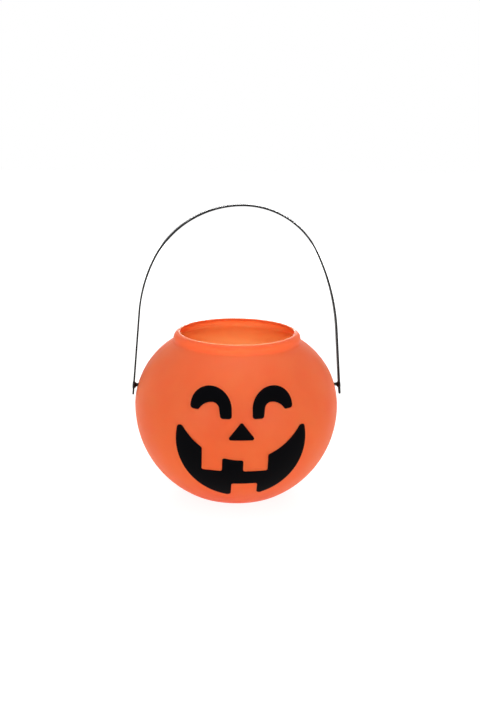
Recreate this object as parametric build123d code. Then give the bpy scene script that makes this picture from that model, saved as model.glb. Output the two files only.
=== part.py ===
from build123d import *
import math
import os

# Pumpkin candy pail: a blow-moulded pail with a stuck-on face and a strap handle on two push-in rivets.
# Millimetres. The origin is the centre of the base, +Z is up and the face looks towards -Y.
# Left and right are as seen from the front, so right is +X.

# Pail, all sizes on the outside
belly_radius = 89.0
equator_height = 79.0
pail_height = 145.5
wall = 1.2
base_flat_radius = 32.5
base_corner_radius = 25.0
standing_ring_width = 6.5
push_up_height = 4.0
collar_radius = 55.25
collar_straight = 1.3
collar_fillet_radius = 2.6
lip_radius = 5.5

# Handle strap
handle_rise = 157.9
strap_width = 8.0
strap_thickness = 1.5
strap_edge_radius = 0.3
strap_tail = 8.8
strap_end_share = 0.45
left_leg_straight = 65.5
left_leg_splay_deg = 4.75
right_leg_straight = 49.8
right_leg_splay_deg = 4.7
crown_half_deg = 63.35
crown_lean = 3.4
handle_shift = 0.4

# Rivets
rivet_height = 97.2
rivet_stand_off = 3.3
rivet_head_radius = 3.2
rivet_head_height = 0.55
rivet_head_rim = 0.25
shank_radius = 1.5
lock_radius = 3.2
lock_length = 1.7
barb_radius = 2.2
barb_tip_radius = 1.1
barb_length = 3.4
barb_slot_width = 0.8
hinge_clearance = 0.06
barb_clearance = 0.7

# Face films
film = 0.3
eye_spread = 25.06
eye_height = 100.8
eye_outer_radius = 16.55
eye_tip_drop_deg = 4.75
eye_leg_drop = 7.7
eye_leg_foot_width = 9.15
eye_arch_top = 4.87
eye_arch_offset = -1.18
eye_leg_arch_radius = 5.3
eye_tail_arch_radius = 12.9
eye_tail_sweep_deg = 61.3
eye_corner_radius = 2.3
nose_width = 23.8
nose_offset = -0.4
nose_base_height = 75.5
nose_height = 15.35
nose_corner_radius = 1.6
grin_radius = 53.55
grin_height = 72.45
lip_line_radius = 56.85
lip_line_rise = 41.7
# Teeth: left and right edge as shares of the grin's radius, length as a share of the mouth's depth
left_tooth_shares = (-0.607, -0.2945, 0.279)
right_tooth_shares = (0.0285, 0.41, 0.283)
lower_tooth_shares = (-0.143, 0.261, 0.38)
mouth_corner_radius = 1.7
mouth_tip_radius = 2.7

overrun = 2.0

# Arcs of the pail's half-section, each tangent to the next
push_up_radius = base_flat_radius - standing_ring_width
dome_radius = (push_up_radius**2 + push_up_height**2) / (2 * push_up_height)
dome_z = push_up_height - dome_radius
flank = belly_radius - base_flat_radius
rise_to_equator = equator_height - base_corner_radius
lower_radius = (flank**2 + rise_to_equator**2 - base_corner_radius**2) / (2 * (flank - base_corner_radius))
lower_x = belly_radius - lower_radius
lower_deg = math.degrees(math.atan2(-rise_to_equator, base_flat_radius - lower_x))
fillet_x = collar_radius + collar_fillet_radius
fillet_z = pail_height - lip_radius - collar_straight
shoulder = belly_radius - fillet_x
shoulder_rise = fillet_z - equator_height
upper_radius = shoulder**2 + shoulder_rise**2 - collar_fillet_radius**2
upper_radius /= 2 * (belly_radius - collar_radius)
upper_x = belly_radius - upper_radius
upper_deg = math.degrees(math.atan2(shoulder_rise, fillet_x - upper_x))
mouth_radius = collar_radius - lip_radius
lip_z = pail_height - lip_radius


def side_radius(z, offset):
    """Radius of the pail above the equator, at an offset outside its outer skin."""
    return upper_x + math.sqrt((upper_radius + offset) ** 2 - (z - equator_height) ** 2)


def belly_arcs(offset):
    """The two arcs of the side, from the base corner to the collar fillet."""
    centre = (lower_x, equator_height)
    return [
        CenterArc(centre, lower_radius + offset, lower_deg, -lower_deg),
        CenterArc((upper_x, equator_height), upper_radius + offset, 0, upper_deg),
    ]


def pail_skin(offset):
    """Line of the pail's half-section at an offset outside the outer skin, from the axis to the lip."""
    ring_z = -offset
    ring_x = math.sqrt((dome_radius - offset) ** 2 - (ring_z - dome_z) ** 2)
    dome_deg = math.degrees(math.asin(ring_x / (dome_radius - offset)))
    return [
        CenterArc((0, dome_z), dome_radius - offset, 90 - dome_deg, dome_deg),
        Line((ring_x, ring_z), (base_flat_radius, ring_z)),
        CenterArc((base_flat_radius, base_corner_radius), base_corner_radius + offset, -90, 90 + lower_deg),
        *belly_arcs(offset),
        CenterArc((fillet_x, fillet_z), collar_fillet_radius - offset, 180 + upper_deg, -upper_deg),
        Line((collar_radius + offset, fillet_z), (collar_radius + offset, lip_z)),
        CenterArc((mouth_radius, lip_z), lip_radius + offset, 0, 90),
    ]


def turned(lines):
    """Solid of revolution about Z from the lines of a closed half-section."""
    return revolve(Plane.XZ * make_face(lines), Axis.Z)


def along_x(radius, x_from, x_to, z):
    """Round bar along X."""
    bar = Cylinder(radius, x_to - x_from, rotation=(0, 90, 0))
    return Pos((x_from + x_to) / 2, 0, z) * bar


def make_pail_body():
    trimmed_edge = Line((mouth_radius, pail_height), (mouth_radius, pail_height - wall))
    axis_edge = Line((0, push_up_height), (0, push_up_height + wall))
    shell = turned([*pail_skin(0), trimmed_edge, *pail_skin(-wall), axis_edge])
    hole_radius = shank_radius + hinge_clearance
    return shell - along_x(hole_radius, -belly_radius, belly_radius, rivet_height)


# The strap's place at the rivets, before the handle slides to the right in its holes by the handle's shift
rivet_skin_x = side_radius(rivet_height, 0)
strap_inner_x = rivet_skin_x + rivet_stand_off
strap_x = strap_inner_x + strap_thickness / 2
crown_z = rivet_height + handle_rise


def leg_lines(side, offset):
    """Crown arc, shoulder arc and straight leg of one side, at an offset outside the strap's middle."""
    leg_straight = right_leg_straight if side > 0 else left_leg_straight
    leg_splay_deg = right_leg_splay_deg if side > 0 else left_leg_splay_deg
    crown = math.radians(crown_half_deg)
    leg = math.radians(90 - leg_splay_deg)
    reach = strap_x + side * (handle_shift - crown_lean) - leg_straight * math.cos(leg)
    drop = handle_rise - leg_straight * math.sin(leg)
    crown_run = (math.sin(crown), 1 - math.cos(crown))
    shoulder_run = (math.sin(leg) - math.sin(crown), math.cos(crown) - math.cos(leg))
    cross = crown_run[0] * shoulder_run[1] - shoulder_run[0] * crown_run[1]
    crown_radius = (reach * shoulder_run[1] - drop * shoulder_run[0]) / cross
    shoulder_radius = (drop * crown_run[0] - reach * crown_run[1]) / cross
    crown_centre = Vector(crown_lean, crown_z - crown_radius)
    outwards = Vector(side * math.sin(crown), math.cos(crown))
    shoulder_centre = crown_centre + outwards * (crown_radius - shoulder_radius)
    turn = leg_splay_deg + crown_half_deg - 90
    start_deg = 90 - side * crown_half_deg
    foot_normal = Vector(side * math.sin(leg), math.cos(leg))
    foot = shoulder_centre + foot_normal * (shoulder_radius + offset)
    down = Vector(side * math.cos(leg), -math.sin(leg))
    return [
        CenterArc(crown_centre, crown_radius + offset, 90, -side * crown_half_deg),
        CenterArc(shoulder_centre, shoulder_radius + offset, start_deg, side * turn),
        Line(foot, foot + down * (leg_straight + strap_tail)),
    ]


def make_handle_strap():
    lines = []
    for side in (1, -1):
        outside = leg_lines(side, strap_thickness / 2)
        inside = leg_lines(side, -strap_thickness / 2)
        lines += [*outside, *inside, Line(outside[-1] @ 1, inside[-1] @ 1)]
    strap = extrude(Plane.XZ * make_face(lines), strap_width / 2, both=True)
    end_z = rivet_height - strap_tail / 2
    low_edges = strap.edges().filter_by(lambda edge: edge.center().Z < end_z)
    end_corners = low_edges.filter_by(lambda edge: edge.length < strap_width / 2)
    strap = fillet(end_corners, strap_width * strap_end_share)
    strap = fillet(strap.edges(), strap_edge_radius)
    return strap - along_x(shank_radius, -strap_x - overrun, strap_x + overrun, rivet_height)


def make_rivet(side, strap):
    """Rivet of one side: split barb inside the pail, shank, first barb behind the strap, and a low head.

    The head is square to the strap's leg. The strap is cut out, so the rivet seats on both its faces.
    """
    splay_deg = right_leg_splay_deg if side > 0 else left_leg_splay_deg
    barb_x = side_radius(rivet_height + barb_radius, -wall) - barb_clearance
    tip_x = barb_x - barb_length
    lock_x = strap_inner_x - lock_length
    stem_outline = [
        (tip_x, 0),
        (tip_x, barb_tip_radius),
        (barb_x, barb_radius),
        (barb_x, shank_radius),
        (lock_x, shank_radius),
        (strap_inner_x, lock_radius),
        (strap_x, lock_radius),
        (strap_x, 0),
    ]
    stem = revolve(make_face(Polyline(*stem_outline, close=True)), Axis.X)
    dome_rise = rivet_head_height - rivet_head_rim
    dome = (rivet_head_radius**2 + dome_rise**2) / (2 * dome_rise)
    dome_deg = math.degrees(math.asin(rivet_head_radius / dome))
    root_x = -strap_thickness / 4
    top_x = strap_thickness / 2 + rivet_head_height
    rim_x = strap_thickness / 2 + rivet_head_rim
    head_lines = [
        Polyline((top_x, 0), (root_x, 0), (root_x, rivet_head_radius), (rim_x, rivet_head_radius)),
        CenterArc((top_x - dome, 0), dome, 0, dome_deg),
    ]
    head = revolve(make_face(head_lines), Axis.X)
    rivet = Pos(0, 0, rivet_height) * (stem + Pos(strap_x, 0, 0) * Rot(0, -splay_deg, 0) * head)
    slot_length = barb_length + wall
    slot = Box(slot_length + overrun, barb_slot_width, 2 * (barb_radius + overrun))
    slot_x = tip_x - overrun + (slot_length + overrun) / 2
    rivet -= Pos(slot_x, 0, rivet_height) * slot
    if side < 0:
        rivet = mirror(rivet, Plane.YZ)
    return Pos(handle_shift, 0, 0) * rivet - strap


def make_film(outline):
    """Thin film on the front of the pail with the given outline, as seen from the front."""
    ends = [
        Line(skin @ end, face @ end)
        for skin, face, end in zip(belly_arcs(0), belly_arcs(film), (0, 1))
    ]
    band = turned([*belly_arcs(0), *belly_arcs(film), *ends])
    return band & extrude(Plane.XZ * outline, belly_radius + overrun)


def eye_outline():
    """Right eye: an arch with a straight leg by the nose and a tail that slants down on the outside."""
    outer = CenterArc((0, 0), eye_outer_radius, -eye_tip_drop_deg, 180 + eye_tip_drop_deg)
    foot = Line((-eye_outer_radius, -eye_leg_drop), (eye_leg_foot_width - eye_outer_radius, -eye_leg_drop))
    leg_centre = (eye_arch_offset, eye_arch_top - eye_leg_arch_radius)
    leg_arch = CenterArc(leg_centre, eye_leg_arch_radius, 90, 90)
    tail_centre = (eye_arch_offset, eye_arch_top - eye_tail_arch_radius)
    tail_arch = CenterArc(tail_centre, eye_tail_arch_radius, 90, -eye_tail_sweep_deg)
    lines = [
        outer,
        Line(outer @ 1, foot @ 0),
        foot,
        Line(foot @ 1, leg_arch @ 1),
        leg_arch,
        tail_arch,
        Line(tail_arch @ 1, outer @ 0),
    ]
    eye = make_face(lines)
    corners = [foot @ 0, foot @ 1, tail_arch @ 1, outer @ 0]
    rounded = [v for v in eye.vertices() if any((Vector(*v) - c).length < eye_corner_radius for c in corners)]
    return Pos(eye_spread, eye_height) * fillet(rounded, eye_corner_radius)


def nose_outline():
    half = nose_width / 2
    triangle = make_face(Polyline((-half, 0), (half, 0), (0, nose_height), close=True))
    return Pos(nose_offset, nose_base_height) * fillet(triangle.vertices(), nose_corner_radius)


def tooth(shares, root, tip):
    """Rectangle from a root height to a tip height, between the shares' two edges."""
    left = shares[0] * grin_radius
    right = shares[1] * grin_radius
    return Pos((left + right) / 2, (root + tip) / 2) * Rectangle(right - left, abs(tip - root))


def mouth_outline():
    """Crescent between two circles, with two teeth hanging from its upper edge and one standing in it."""
    lip_line_height = grin_height + lip_line_rise
    top = lip_line_height - lip_line_radius
    bottom = grin_height - grin_radius
    depth = top - bottom
    mouth = Pos(0, grin_height) * Circle(grin_radius)
    mouth -= Pos(0, lip_line_height) * Circle(lip_line_radius)
    for shares in (left_tooth_shares, right_tooth_shares):
        mouth -= tooth(shares, lip_line_height, top - shares[2] * depth)
    mouth -= tooth(lower_tooth_shares, bottom - overrun, bottom + lower_tooth_shares[2] * depth)
    reach = grin_radius - film
    inside = [v for v in mouth.vertices() if math.hypot(v.X, v.Y - grin_height) < reach]
    mouth = fillet(inside, mouth_corner_radius)
    tips = [v for v in mouth.vertices() if math.hypot(v.X, v.Y - grin_height) > reach]
    return fillet(tips, mouth_tip_radius)


def main():
    strap = make_handle_strap()
    eye = make_film(eye_outline())
    parts = {
        "pail_body": make_pail_body(),
        "handle_strap": strap,
        "right_rivet": make_rivet(1, strap),
        "left_rivet": make_rivet(-1, strap),
        "right_eye": eye,
        "left_eye": mirror(eye, Plane.YZ),
        "nose": make_film(nose_outline()),
        "mouth": make_film(mouth_outline()),
    }
    os.makedirs("parts", exist_ok=True)
    for node, shape in parts.items():
        export_step(shape, f"parts/{node}.step")


main()
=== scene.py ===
"""Looks of the pumpkin candy pail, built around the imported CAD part.

Metres, in the CAD frame: +Z up, the face looks towards -Y, X runs through the two rivets.
The object's lengths are written in millimetres, and turned into metres where a mesh or a pattern is made.
"""

import math

import bpy
import numpy as np
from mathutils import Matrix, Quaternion, Vector


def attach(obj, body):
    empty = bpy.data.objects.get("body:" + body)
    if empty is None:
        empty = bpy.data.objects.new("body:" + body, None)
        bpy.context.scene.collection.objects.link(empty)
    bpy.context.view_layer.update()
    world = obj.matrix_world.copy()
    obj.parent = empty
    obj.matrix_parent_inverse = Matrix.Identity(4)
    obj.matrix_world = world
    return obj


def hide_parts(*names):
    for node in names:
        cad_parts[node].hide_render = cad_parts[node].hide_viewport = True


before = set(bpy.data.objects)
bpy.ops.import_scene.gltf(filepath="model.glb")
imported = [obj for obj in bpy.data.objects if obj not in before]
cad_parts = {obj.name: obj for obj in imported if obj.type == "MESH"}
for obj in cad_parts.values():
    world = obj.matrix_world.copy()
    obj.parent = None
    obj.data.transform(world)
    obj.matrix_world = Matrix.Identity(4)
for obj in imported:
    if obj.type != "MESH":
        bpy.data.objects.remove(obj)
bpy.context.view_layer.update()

MM = 0.001

# Pail, as in the CAD source, all sizes on the outside
belly_radius = 89.0
equator_height = 79.0
pail_height = 145.5
wall = 1.2
base_flat_radius = 32.5
base_corner_radius = 25.0
standing_ring_width = 6.5
push_up_height = 4.0
collar_radius = 55.25
collar_straight = 1.3
collar_fillet_radius = 2.6
lip_radius = 5.5

# Pail, finer than the CAD source: the lip's trimmed edge is rounded, and the neck is thicker inside
trimmed_edge_round = 0.3
neck_wall = 1.75

# Marks that the mould leaves: a fine ridge up the sides, and a weld across the middle of the base
parting_ridge_height = 0.2
parting_ridge_half_width = 0.45
parting_ridge_starts_at = 2.0
parting_ridge_full_at = 9.0
weld_ridge_height = 0.6
weld_ridge_half_length = 19.0
weld_ridge_full_share = 0.7

# Steps of the pail's mesh: even ones round it, and finer ones at these distances from the parting line
steps_round_pail = 240
beside_parting_line = (0.15, 0.35, 0.6, 0.9, 1.3)

# Strap and rivets, as in the CAD source
rivet_height = 97.2
rivet_stand_off = 3.3
shank_radius = 1.5
hinge_clearance = 0.06
handle_rise = 157.9
strap_width = 8.0
strap_thickness = 1.5
strap_edge_radius = 0.3
strap_tail = 8.8
strap_end_share = 0.45
left_leg_straight = 65.5
left_leg_splay_deg = 4.75
right_leg_straight = 49.8
right_leg_splay_deg = 4.7
crown_half_deg = 63.35
crown_lean = 3.4
handle_shift = 0.4

# Steps of the strap's mesh, and the most of its half width that an edge's rounding takes
crown_steps = 40
shoulder_steps = 30
leg_steps = 24
rounded_end_steps = 24
edge_steps = 5
edge_share = 0.9

# Drill for the rivet holes, and the angle from which the edges of a bored piece look sharp
drill_sides = 48
drill_overshoot = 7.5
sharp_edge_deg = 35

# Camera, fitted to the pail's outline in the photograph: degrees, and millimetres
camera_turn_deg = -3.44
camera_up_deg = 14.89
camera_roll_deg = 0.75
camera_away = 981.8
camera_looks_at = (2.8, -0.2, 119.4)
camera_lens = 56
camera_sensor = 36

# Studio, in metres and watts: place, width and power of lamps above and behind, and low ones at the front
lamps = {
    "top_lamp": ((0.0, 0.0, 1.2), 0.9, 5.2),
    "right_lamp": ((0.75, -1.4, 0.2), 0.35, 8.0),
    "left_lamp": ((-1.0, -1.2, 0.2), 0.35, 6.2),
    "back_lamp": ((0.1, 1.38, 0.3), 0.6, 13.5),
}
middle_of_pail = (0.0, 0.0, 0.08)
floor_half_width = 3.0

# Strength of light: of the surroundings and the floor on the pail, and of both as the camera sees them
surroundings_light = 0.64
floor_light = 0.14
surroundings_seen = 1.0
floor_seen = 0.87

# Sockets of a Mix node that mixes colours
FIRST_COLOUR = 6
SECOND_COLOUR = 7
MIXED_COLOUR = 2

# Arcs of the pail's half-section: x and z are places of centres, and deg the angle at which an arc ends
push_up_radius = base_flat_radius - standing_ring_width
dome_radius = (push_up_radius**2 + push_up_height**2) / (2 * push_up_height)
dome_z = push_up_height - dome_radius
flank = belly_radius - base_flat_radius
rise_to_equator = equator_height - base_corner_radius
lower_radius = flank**2 + rise_to_equator**2 - base_corner_radius**2
lower_radius /= 2 * (flank - base_corner_radius)
lower_x = belly_radius - lower_radius
lower_deg = math.degrees(math.atan2(-rise_to_equator, base_flat_radius - lower_x))
fillet_x = collar_radius + collar_fillet_radius
fillet_z = pail_height - lip_radius - collar_straight
shoulder = belly_radius - fillet_x
shoulder_rise = fillet_z - equator_height
upper_radius = shoulder**2 + shoulder_rise**2 - collar_fillet_radius**2
upper_radius /= 2 * (belly_radius - collar_radius)
upper_x = belly_radius - upper_radius
upper_deg = math.degrees(math.atan2(shoulder_rise, fillet_x - upper_x))
mouth_radius = collar_radius - lip_radius
lip_z = pail_height - lip_radius

# Middle of the strap at the rivets
strap_x = upper_x + math.sqrt(upper_radius**2 - (rivet_height - equator_height) ** 2)
strap_x += rivet_stand_off + strap_thickness / 2


def smooth_step(value, low, high):
    """0 below low and 1 above high, with the cubic 3 t^2 - 2 t^3 between them."""
    t = np.clip((value - low) / (high - low), 0, 1)
    return t * t * (3 - 2 * t)


def arc(x, z, radius, from_deg, to_deg, count):
    """Arc in a plane of (x, z): the centre plus the radius times (cos, sin) of an angle in even steps."""
    angle = np.radians(np.linspace(from_deg, to_deg, count))
    return np.column_stack([x + radius * np.cos(angle), z + radius * np.sin(angle)])


def straight(start, end, count):
    """Points in even steps from start to end."""
    return np.linspace(start, end, count)


def joined(runs):
    """Runs of points end to end, with the point that two runs share kept once."""
    return np.vstack([run[:-1] for run in runs[:-1]] + [runs[-1]])


def section_normals(section):
    """Unit normals of a section: the step between each point's neighbours, turned a quarter."""
    tangent = np.gradient(section, axis=0)
    normal = np.column_stack([tangent[:, 1], -tangent[:, 0]])
    return normal / np.linalg.norm(normal, axis=1, keepdims=True)


def mesh_piece(name, points, faces, body, node):
    """Mesh from points in millimetres and its faces, riding on a body and standing for one CAD node."""
    mesh = bpy.data.meshes.new(name)
    mesh.from_pydata((points * MM).tolist(), [], faces)
    mesh.validate()
    mesh.shade_smooth()
    piece = bpy.data.objects.new(name, mesh)
    bpy.context.scene.collection.objects.link(piece)
    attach(piece, body)
    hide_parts(node)
    return piece


def pail_skin(offset):
    """Half-section of the pail at an offset outside its outer skin, from the axis to the lip.

    Dome arc, standing ring, corner arc, lower and upper side arc, collar fillet, collar and lip arc,
    from the ring on each tangent to the next. The lip stops one edge rounding before the trimmed edge.
    """
    ring_x = math.sqrt((dome_radius - offset) ** 2 - (-offset - dome_z) ** 2)
    dome_deg = math.degrees(math.asin(ring_x / (dome_radius - offset)))
    lip_deg = math.degrees(math.acos(trimmed_edge_round / (lip_radius + offset)))
    collar_x = collar_radius + offset
    return joined([
        arc(0, dome_z, dome_radius - offset, 90, 90 - dome_deg, count=20),
        straight((ring_x, -offset), (base_flat_radius, -offset), count=5),
        arc(base_flat_radius, base_corner_radius, base_corner_radius + offset, -90, lower_deg, count=9),
        arc(lower_x, equator_height, lower_radius + offset, lower_deg, 0, count=48),
        arc(upper_x, equator_height, upper_radius + offset, 0, upper_deg, count=40),
        arc(fillet_x, fillet_z, collar_fillet_radius - offset, 180 + upper_deg, 180, count=9),
        straight((collar_x, fillet_z), (collar_x, lip_z), count=3),
        arc(mouth_radius, lip_z, lip_radius + offset, 0, lip_deg, count=14),
    ])


def pail_section():
    """Closed half-section of the wall, and how many of its points lie on the outer skin.

    It runs out and up the outer skin, round the trimmed edge, and down and in on the inner skin.
    Towards the collar the wall grows from its plain thickness to that of the neck, on the inside.
    """
    edge_x = mouth_radius + trimmed_edge_round
    outer = pail_skin(0)
    inner = pail_skin(-wall)
    in_the_neck = smooth_step(inner[:, 1:], fillet_z - collar_fillet_radius, fillet_z)
    inner -= (neck_wall - wall) * in_the_neck * section_normals(inner)
    top = arc(edge_x, outer[-1, 1] - trimmed_edge_round, trimmed_edge_round, 90, 180, count=5)
    under = arc(edge_x, inner[-1, 1] + trimmed_edge_round, trimmed_edge_round, 180, 270, count=5)
    return np.vstack([outer, top[1:], under, inner[-2::-1]]), len(outer)


def make_pail_shell():
    """Surface of revolution (r cos a, r sin a, z) over the closed half-section and the angle a.

    Where the two mould halves met, in the plane y = 0, the skin is pushed out along its normal by
    height * exp(-(y / half width)^2). The height follows the section: a fine parting line up the sides,
    none on the standing ring and a stronger weld across the middle of the base.
    """
    section, outer_count = pail_section()
    normal = section_normals(section)
    even = np.arange(steps_round_pail) * 2 * np.pi / steps_round_pail
    beside = np.array(beside_parting_line) / belly_radius
    near = np.concatenate([-beside, beside])
    angle = np.unique(np.concatenate([even, near, near + np.pi]) % (2 * np.pi))
    r = section[:, :1]
    z = section[:, 1:]
    outside = (np.arange(len(section)) < outer_count)[:, None]
    up_the_side = smooth_step(z, parting_ridge_starts_at, parting_ridge_full_at) * (r > base_flat_radius)
    below_the_top = 1 - smooth_step(z, lip_z, pail_height)
    weld = 1 - smooth_step(r, weld_ridge_half_length * weld_ridge_full_share, weld_ridge_half_length)
    height = outside * (parting_ridge_height * up_the_side * below_the_top + weld_ridge_height * weld)
    ridge = height * np.exp(-((r * np.sin(angle) / parting_ridge_half_width) ** 2))
    radius = r + ridge * normal[:, :1]
    level = z + ridge * normal[:, 1:]
    grid = np.stack([radius * np.cos(angle), radius * np.sin(angle), level], axis=2)
    rows = len(section) - 2
    columns = len(angle)
    points = np.vstack([grid[1:-1].reshape(-1, 3), grid[:1, 0], grid[-1:, 0]])
    index = np.arange(rows * columns).reshape(rows, columns)
    turned = np.roll(index, -1, axis=1)
    quads = np.stack([index[:-1], turned[:-1], turned[1:], index[1:]], axis=2).reshape(-1, 4)
    outer_pole = np.full(columns, rows * columns)
    underside = np.stack([turned[0], index[0], outer_pole], axis=1)
    inside = np.stack([index[-1], turned[-1], outer_pole + 1], axis=1)
    faces = quads.tolist() + underside.tolist() + inside.tolist()
    return mesh_piece("pail_shell", points, faces, "pail", "pail_body")


def strap_half(side):
    """Middle line of one half of the strap from crown to foot, and its outward normals, in (x, z).

    Crown arc, shoulder arc and straight leg are tangent to each other. The two radii are those that
    bring the leg to the rivet: they solve reach = sum of x runs and drop = sum of z runs.
    """
    leg_straight = right_leg_straight if side > 0 else left_leg_straight
    leg_splay_deg = right_leg_splay_deg if side > 0 else left_leg_splay_deg
    crown = math.radians(crown_half_deg)
    leg = math.radians(90 - leg_splay_deg)
    reach = strap_x + side * (handle_shift - crown_lean) - leg_straight * math.cos(leg)
    drop = handle_rise - leg_straight * math.sin(leg)
    runs = np.array([
        [math.sin(crown), math.sin(leg) - math.sin(crown)],
        [1 - math.cos(crown), math.cos(crown) - math.cos(leg)],
    ])
    crown_radius, shoulder_radius = np.linalg.solve(runs, [reach, drop])
    crown_z = rivet_height + handle_rise - crown_radius
    apart = crown_radius - shoulder_radius
    shoulder_x = crown_lean + side * math.sin(crown) * apart
    shoulder_z = crown_z + math.cos(crown) * apart
    crown_end_deg = 90 - side * crown_half_deg
    leg_deg = 90 - side * (90 - leg_splay_deg)
    over = arc(0, 0, 1, 90, crown_end_deg, crown_steps)
    round_shoulder = arc(0, 0, 1, crown_end_deg, leg_deg, shoulder_steps)[1:]
    foot = np.array([shoulder_x, shoulder_z]) + round_shoulder[-1] * shoulder_radius
    down = np.array([side * math.cos(leg), -math.sin(leg)])
    length = leg_straight + strap_tail
    even = np.linspace(0, length - strap_width / 2, leg_steps)
    from_tip = strap_width / 2 * (1 - np.cos(np.linspace(0, np.pi / 2, rounded_end_steps)))
    along = np.concatenate([even[1:-1], length - from_tip[::-1]])
    line = np.vstack([
        np.array([crown_lean, crown_z]) + over * crown_radius,
        np.array([shoulder_x, shoulder_z]) + round_shoulder * shoulder_radius,
        foot + along[:, None] * down,
    ])
    normal = np.vstack([over, round_shoulder, np.repeat(round_shoulder[-1:], len(along), axis=0)])
    return line, normal


def make_strap():
    """Rounded rectangle carried along the strap's middle line, narrowing to rounded ends.

    At a distance d from the end, the half width is its full value less the corner rounding
    R - sqrt(R^2 - (R - d)^2), and the whole section shrinks by the same rule with the edge radius.
    """
    left, left_normal = strap_half(-1)
    right, right_normal = strap_half(1)
    line = np.vstack([left[:0:-1], right])
    normal = np.vstack([left_normal[:0:-1], right_normal])
    steps = np.linalg.norm(np.diff(line, axis=0), axis=1)
    travel = np.concatenate([[0], np.cumsum(steps)])
    from_end = np.minimum(travel, travel[-1] - travel)

    def rounding(radius):
        """R - sqrt(R^2 - (R - d)^2) within one radius of an end, and 0 further in."""
        short = np.clip(radius - from_end, 0, radius)
        return radius - np.sqrt(radius**2 - short**2)

    shrink = rounding(strap_edge_radius)
    half_width = strap_width / 2 - rounding(strap_width * strap_end_share) - shrink
    half_thick = strap_thickness / 2 - shrink
    edge = np.minimum(strap_edge_radius, half_width * edge_share)[:, None]
    quarter = np.linspace(0, 90, edge_steps)
    turn = np.radians(quarter[None] + np.array([0, 90, 180, 270])[:, None]).ravel()
    corner_out = np.repeat([1, -1, -1, 1], edge_steps)
    corner_across = np.repeat([1, 1, -1, -1], edge_steps)
    out = corner_out * (half_thick[:, None] - edge) + edge * np.cos(turn)
    across = corner_across * (half_width[:, None] - edge) + edge * np.sin(turn)
    grid = np.stack([
        line[:, :1] + out * normal[:, :1],
        across,
        line[:, 1:] + out * normal[:, 1:],
    ], axis=2)
    rows, columns = grid.shape[:2]
    index = np.arange(rows * columns).reshape(rows, columns)
    turned = np.roll(index, -1, axis=1)
    quads = np.stack([index[:-1], index[1:], turned[1:], turned[:-1]], axis=2).reshape(-1, 4)
    faces = quads.tolist() + [index[0].tolist(), index[-1, ::-1].tolist()]
    return mesh_piece("strap", grid.reshape(-1, 3), faces, "handle", "handle_strap")


def cut_rivet_holes(piece, radius):
    """Bores a round hole along X, through both rivets' places, and makes the result the piece's mesh."""
    angle = np.linspace(0, 2 * np.pi, drill_sides, endpoint=False)
    ring = np.column_stack([0 * angle, radius * np.cos(angle), rivet_height + radius * np.sin(angle)])
    reach = np.array([strap_x + drill_overshoot, 0, 0])
    points = np.vstack([ring - reach, ring + reach])
    low = np.arange(len(angle))
    high = low + len(angle)
    sides = np.stack([low, np.roll(low, -1), np.roll(high, -1), high], axis=1)
    faces = sides.tolist() + [low[::-1].tolist(), high.tolist()]
    drill = bpy.data.meshes.new("drill")
    drill.from_pydata((points * MM).tolist(), [], faces)
    drill_piece = bpy.data.objects.new("drill", drill)
    bpy.context.scene.collection.objects.link(drill_piece)
    bore = piece.modifiers.new("bore", "BOOLEAN")
    bore.operation = "DIFFERENCE"
    bore.solver = "EXACT"
    bore.object = drill_piece
    bpy.context.view_layer.update()
    bored = bpy.data.meshes.new_from_object(piece.evaluated_get(bpy.context.evaluated_depsgraph_get()))
    piece.modifiers.clear()
    whole = piece.data
    piece.data = bored
    bored.name = piece.name
    bpy.data.meshes.remove(whole)
    bpy.data.objects.remove(drill_piece)
    bpy.data.meshes.remove(drill)
    bored.set_sharp_from_angle(angle=math.radians(sharp_edge_deg))


def linear(hex_colour):
    """sRGB hex value to linear RGBA."""
    srgb = np.array([int(hex_colour[i:i + 2], 16) for i in (1, 3, 5)]) / 255
    channels = np.where(srgb <= 0.04045, srgb / 12.92, ((srgb + 0.055) / 1.055) ** 2.4)
    return (*channels.tolist(), 1.0)


def add_node(tree, kind, values=None, links=None, **settings):
    """Adds a node, sets its properties and unlinked inputs, and links inputs to outputs of other nodes."""
    node = tree.nodes.new(kind)
    for name, value in settings.items():
        setattr(node, name, value)
    for name, value in (values or {}).items():
        node.inputs[name].default_value = value
    for name, (source, output) in (links or {}).items():
        tree.links.new(source.outputs[output], node.inputs[name])
    return node


def per_size(size):
    """Texture scale at which a pattern on Object coordinates, in metres, repeats about once in a size."""
    return 1 / (size * MM)


def new_material(name):
    """Empty node material and its node tree."""
    material = bpy.data.materials.new(name)
    material.use_nodes = True
    material.node_tree.nodes.clear()
    return material, material.node_tree


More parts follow.
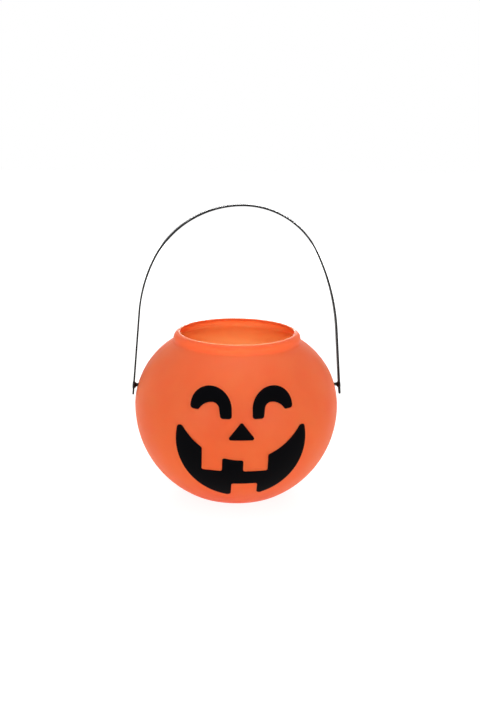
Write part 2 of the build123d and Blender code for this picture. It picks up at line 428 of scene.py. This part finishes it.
def moulded_polyethylene():
    """Blow-moulded polyethylene, dyed through: satin, with a soft orange-peel skin.

    The thin wall lets light through, red most, so the inside glows and the shaded side stays orange.
    The wall's thickness varies over a few centimetres, which shows as faint lighter and deeper patches.
    """
    patch_size = 38
    ripple_size = 14
    ripple_depth = 0.15 * MM
    peel_size = 1.6
    peel_depth = 0.02 * MM
    light_spreads = 10 * MM
    material, tree = new_material("orange_polyethylene_blow_moulded")
    on_object = {"Vector": (add_node(tree, "ShaderNodeTexCoord"), "Object")}
    patches = add_node(tree, "ShaderNodeTexNoise",
                       {"Scale": per_size(patch_size), "Detail": 2.0, "Roughness": 0.45}, on_object)
    tone = add_node(tree, "ShaderNodeMapRange",
                    {"From Min": 0.3, "From Max": 0.7}, {"Value": (patches, "Fac")})
    dye = add_node(tree, "ShaderNodeMix",
                   {FIRST_COLOUR: linear("#FC572A"), SECOND_COLOUR: linear("#FD5F30")},
                   {"Factor": (tone, "Result")}, data_type="RGBA")
    ripple = add_node(tree, "ShaderNodeTexNoise",
                      {"Scale": per_size(ripple_size), "Detail": 1.0, "Roughness": 0.4}, on_object)
    rough = add_node(tree, "ShaderNodeMapRange",
                     {"To Min": 0.46, "To Max": 0.58}, {"Value": (ripple, "Fac")})
    swell = add_node(tree, "ShaderNodeBump",
                     {"Strength": 1.0, "Distance": ripple_depth}, {"Height": (ripple, "Fac")})
    peel = add_node(tree, "ShaderNodeTexNoise",
                    {"Scale": per_size(peel_size), "Detail": 2.0, "Roughness": 0.5}, on_object)
    skin = add_node(tree, "ShaderNodeBump",
                    {"Strength": 1.0, "Distance": peel_depth},
                    {"Height": (peel, "Fac"), "Normal": (swell, "Normal")})
    shader = add_node(tree, "ShaderNodeBsdfPrincipled",
                      {"IOR": 1.52, "Specular IOR Level": 0.15, "Subsurface Weight": 1.0,
                       "Subsurface Radius": (0.95, 0.82, 0.66), "Subsurface Scale": light_spreads},
                      {"Base Color": (dye, MIXED_COLOUR), "Roughness": (rough, "Result"),
                       "Normal": (skin, "Normal")})
    add_node(tree, "ShaderNodeOutputMaterial", links={"Surface": (shader, "BSDF")})
    return material


def black_film():
    """Matt black vinyl film: flat and very dark, with only a trace of the pail's skin under it."""
    mottle_size = 9
    peel_size = 1.6
    peel_depth = 0.012 * MM
    material, tree = new_material("black_vinyl_matt_film")
    on_object = {"Vector": (add_node(tree, "ShaderNodeTexCoord"), "Object")}
    mottle = add_node(tree, "ShaderNodeTexNoise",
                      {"Scale": per_size(mottle_size), "Detail": 2.0}, on_object)
    tone = add_node(tree, "ShaderNodeMix",
                    {FIRST_COLOUR: linear("#020203"), SECOND_COLOUR: linear("#040406")},
                    {"Factor": (mottle, "Fac")}, data_type="RGBA")
    rough = add_node(tree, "ShaderNodeMapRange",
                     {"To Min": 0.5, "To Max": 0.62}, {"Value": (mottle, "Fac")})
    peel = add_node(tree, "ShaderNodeTexNoise",
                    {"Scale": per_size(peel_size), "Detail": 2.0, "Roughness": 0.5}, on_object)
    skin = add_node(tree, "ShaderNodeBump",
                    {"Strength": 1.0, "Distance": peel_depth}, {"Height": (peel, "Fac")})
    shader = add_node(tree, "ShaderNodeBsdfPrincipled",
                      {"IOR": 1.5, "Specular IOR Level": 0.02},
                      {"Base Color": (tone, MIXED_COLOUR), "Roughness": (rough, "Result"),
                       "Normal": (skin, "Normal")})
    add_node(tree, "ShaderNodeOutputMaterial", links={"Surface": (shader, "BSDF")})
    return material


def extruded_polypropylene():
    """Extruded polypropylene strap: satin black with fine lines along it from the die.

    Real die lines are finer than these, which are drawn coarser so that they show close up.
    """
    line_width = 0.7
    line_length = 60
    line_depth = 0.03 * MM
    material, tree = new_material("black_polypropylene_extruded")
    on_object = {"Vector": (add_node(tree, "ShaderNodeTexCoord"), "Object")}
    drawn_out = (per_size(line_length), per_size(line_width), per_size(line_length))
    along_strap = add_node(tree, "ShaderNodeMapping", {"Scale": drawn_out}, on_object)
    lines = add_node(tree, "ShaderNodeTexNoise",
                     {"Scale": 1.0, "Detail": 3.0, "Roughness": 0.6}, {"Vector": (along_strap, "Vector")})
    tone = add_node(tree, "ShaderNodeMix",
                    {FIRST_COLOUR: linear("#070708"), SECOND_COLOUR: linear("#0F0F11")},
                    {"Factor": (lines, "Fac")}, data_type="RGBA")
    rough = add_node(tree, "ShaderNodeMapRange",
                     {"To Min": 0.38, "To Max": 0.52}, {"Value": (lines, "Fac")})
    grooves = add_node(tree, "ShaderNodeBump",
                       {"Strength": 1.0, "Distance": line_depth}, {"Height": (lines, "Fac")})
    shader = add_node(tree, "ShaderNodeBsdfPrincipled",
                      {"IOR": 1.49, "Specular IOR Level": 0.22},
                      {"Base Color": (tone, MIXED_COLOUR), "Roughness": (rough, "Result"),
                       "Normal": (grooves, "Normal")})
    add_node(tree, "ShaderNodeOutputMaterial", links={"Surface": (shader, "BSDF")})
    return material


def moulded_nylon():
    """Injection-moulded nylon: deep black with a soft gloss and a fine spark-eroded mould texture.

    The real grain is about a tenth of a millimetre, and is drawn coarser so that it shows close up.
    """
    grit_size = 0.35
    grit_depth = 0.01 * MM
    material, tree = new_material("black_nylon_moulded")
    on_object = {"Vector": (add_node(tree, "ShaderNodeTexCoord"), "Object")}
    grit = add_node(tree, "ShaderNodeTexNoise",
                    {"Scale": per_size(grit_size), "Detail": 2.0}, on_object)
    tone = add_node(tree, "ShaderNodeMix",
                    {FIRST_COLOUR: linear("#070707"), SECOND_COLOUR: linear("#0E0E0F")},
                    {"Factor": (grit, "Fac")}, data_type="RGBA")
    rough = add_node(tree, "ShaderNodeMapRange",
                     {"To Min": 0.28, "To Max": 0.4}, {"Value": (grit, "Fac")})
    skin = add_node(tree, "ShaderNodeBump",
                    {"Strength": 1.0, "Distance": grit_depth}, {"Height": (grit, "Fac")})
    shader = add_node(tree, "ShaderNodeBsdfPrincipled",
                      {"IOR": 1.53, "Specular IOR Level": 0.3},
                      {"Base Color": (tone, MIXED_COLOUR), "Roughness": (rough, "Result"),
                       "Normal": (skin, "Normal")})
    add_node(tree, "ShaderNodeOutputMaterial", links={"Surface": (shader, "BSDF")})
    return material


def seen_by_camera(tree):
    """Node that gives 1 for what the camera sees, straight, mirrored or through glass, and 0 otherwise."""
    path = add_node(tree, "ShaderNodeLightPath")
    mirrored = add_node(tree, "ShaderNodeMath",
                        links={0: (path, "Is Camera Ray"), 1: (path, "Is Glossy Ray")},
                        operation="MAXIMUM")
    return add_node(tree, "ShaderNodeMath",
                    links={0: (mirrored, 0), 1: (path, "Is Transmission Ray")},
                    operation="MAXIMUM")


def studio_floor():
    """Pale floor, faintly lit from below as a light table is.

    It looks white to the camera and in reflections, and keeps a faint shadow of the pail.
    """
    white = linear("#FFFFFF")
    material, tree = new_material("studio_floor")
    paint = add_node(tree, "ShaderNodeBsdfDiffuse", {"Color": linear("#F3F3F3")})
    light_table = add_node(tree, "ShaderNodeEmission", {"Color": white, "Strength": floor_light})
    bounce = add_node(tree, "ShaderNodeAddShader", links={0: (paint, 0), 1: (light_table, 0)})
    shadow = add_node(tree, "ShaderNodeBsdfDiffuse", {"Color": linear("#959595")})
    glow = add_node(tree, "ShaderNodeEmission", {"Color": white, "Strength": floor_seen})
    pale = add_node(tree, "ShaderNodeAddShader", links={0: (shadow, 0), 1: (glow, 0)})
    both = add_node(tree, "ShaderNodeMixShader",
                    links={0: (seen_by_camera(tree), 0), 1: (bounce, 0), 2: (pale, 0)})
    add_node(tree, "ShaderNodeOutputMaterial", links={"Surface": (both, 0)})
    return material


def make_floor():
    """Square floor under the pail."""
    half = floor_half_width
    corners = [(-half, -half, 0), (half, -half, 0), (half, half, 0), (-half, half, 0)]
    mesh = bpy.data.meshes.new("floor")
    mesh.from_pydata(corners, [], [(0, 1, 2, 3)])
    mesh.materials.append(studio_floor())
    floor = bpy.data.objects.new("floor", mesh)
    bpy.context.scene.collection.objects.link(floor)


def light_studio():
    """Even surroundings, which look white to the camera, and round lamps aimed at the middle of the pail."""
    white = linear("#FFFFFF")
    world = bpy.data.worlds.new("studio")
    world.use_nodes = True
    tree = world.node_tree
    tree.nodes.clear()
    even = add_node(tree, "ShaderNodeBackground", {"Color": white, "Strength": surroundings_light})
    backdrop = add_node(tree, "ShaderNodeBackground", {"Color": white, "Strength": surroundings_seen})
    both = add_node(tree, "ShaderNodeMixShader",
                    links={0: (seen_by_camera(tree), 0), 1: (even, 0), 2: (backdrop, 0)})
    add_node(tree, "ShaderNodeOutputWorld", links={"Surface": (both, 0)})
    bpy.context.scene.world = world
    for name, (place, width, power) in lamps.items():
        lamp = bpy.data.lights.new(name, "AREA")
        lamp.shape = "DISK"
        lamp.size = width
        lamp.energy = power
        holder = bpy.data.objects.new(name, lamp)
        bpy.context.scene.collection.objects.link(holder)
        holder.location = place
        aim = Vector(middle_of_pail) - Vector(place)
        holder.rotation_euler = aim.to_track_quat("-Z", "Y").to_euler()


def make_camera():
    """Camera at the photograph's angle: round to the side, up, and turned about its own axis."""
    turn = math.radians(camera_turn_deg)
    up = math.radians(camera_up_deg)
    roll = math.radians(camera_roll_deg)
    back = Vector((math.sin(turn) * math.cos(up), -math.cos(turn) * math.cos(up), math.sin(up)))
    lens = bpy.data.cameras.new("camera")
    lens.lens = camera_lens
    lens.sensor_width = camera_sensor
    camera = bpy.data.objects.new("camera", lens)
    bpy.context.scene.collection.objects.link(camera)
    camera.location = Vector(camera_looks_at) * MM + back * (camera_away * MM)
    aim = (-back).to_track_quat("-Z", "Y") @ Quaternion((0, 0, 1), roll)
    camera.rotation_euler = aim.to_euler()
    bpy.context.scene.camera = camera


make_camera()
light_studio()
make_floor()

pail = make_pail_shell()
cut_rivet_holes(pail, shank_radius + hinge_clearance)
pail.data.materials.append(moulded_polyethylene())
strap = make_strap()
cut_rivet_holes(strap, shank_radius)
strap.data.materials.append(extruded_polypropylene())

nylon = moulded_nylon()
film = black_film()
finishes = {
    "left_rivet": nylon,
    "right_rivet": nylon,
    "left_eye": film,
    "right_eye": film,
    "nose": film,
    "mouth": film,
}
for node, finish in finishes.items():
    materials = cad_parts[node].data.materials
    materials.clear()
    materials.append(finish)

bpy.context.scene.view_settings.view_transform = "Standard"
